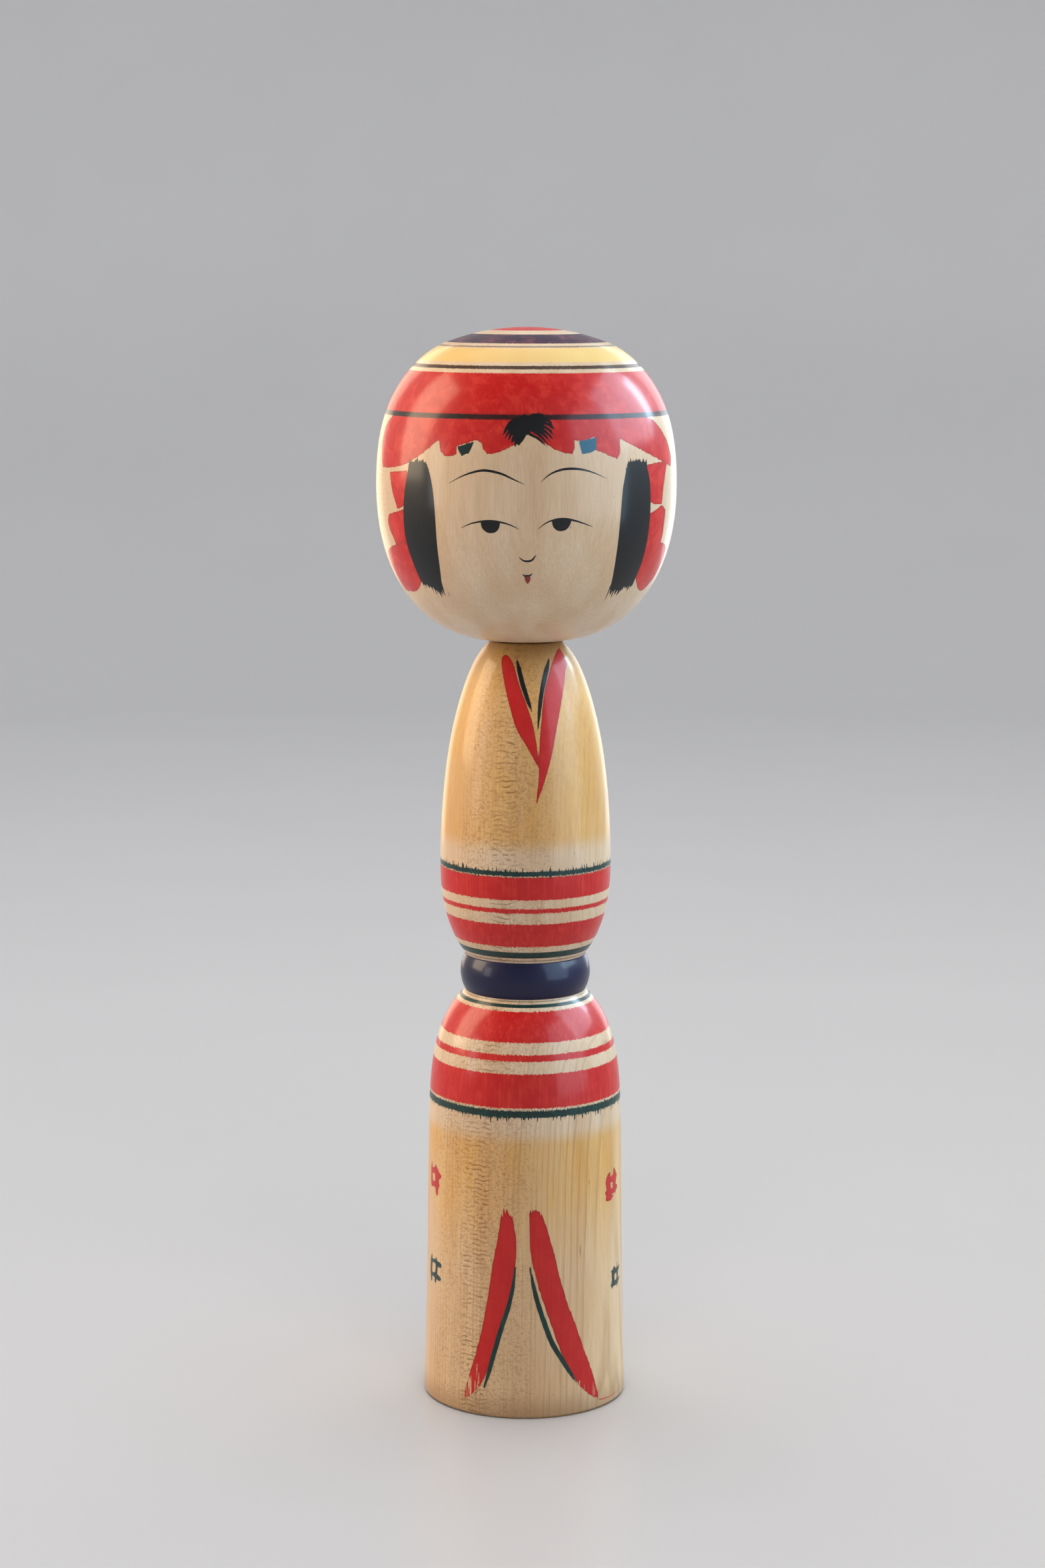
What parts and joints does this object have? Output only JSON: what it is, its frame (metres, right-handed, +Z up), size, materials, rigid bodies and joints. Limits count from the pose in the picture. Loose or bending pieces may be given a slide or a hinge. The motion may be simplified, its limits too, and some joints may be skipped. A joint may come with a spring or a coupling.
{
  "type": "kokeshi doll",
  "caption": "Turned wooden kokeshi doll: a waisted body with a bead at the waist, and a round head on a neck peg that turns by hand.",
  "frame": {"origin": "centre of the base, on the surface that the doll stands on", "axes": "+Z up along the doll's turned axis, -Y out of its face, +X to the viewer's right when the face is seen from the front"},
  "size_m": [0.0834, 0.0834, 0.3041],
  "materials": {
    "body_wood": "pale close-grained wood with red, green and navy dye, waxed to a gloss",
    "head_wood": "pale close-grained wood with ink and dye brushwork, waxed to a gloss",
    "peg_wood": "bare turned wood"
  },
  "bodies": {
    "body": {"body": "body_wood"},
    "head": {"head": "head_wood", "neck_peg": "peg_wood"}
  },
  "joints": [
    {"name": "head_turn", "type": "hinge", "parent": "body", "child": "head", "pos_m": [0, 0, 0.2179], "axis": [0, 0, 1], "continuous": true}
  ]
}
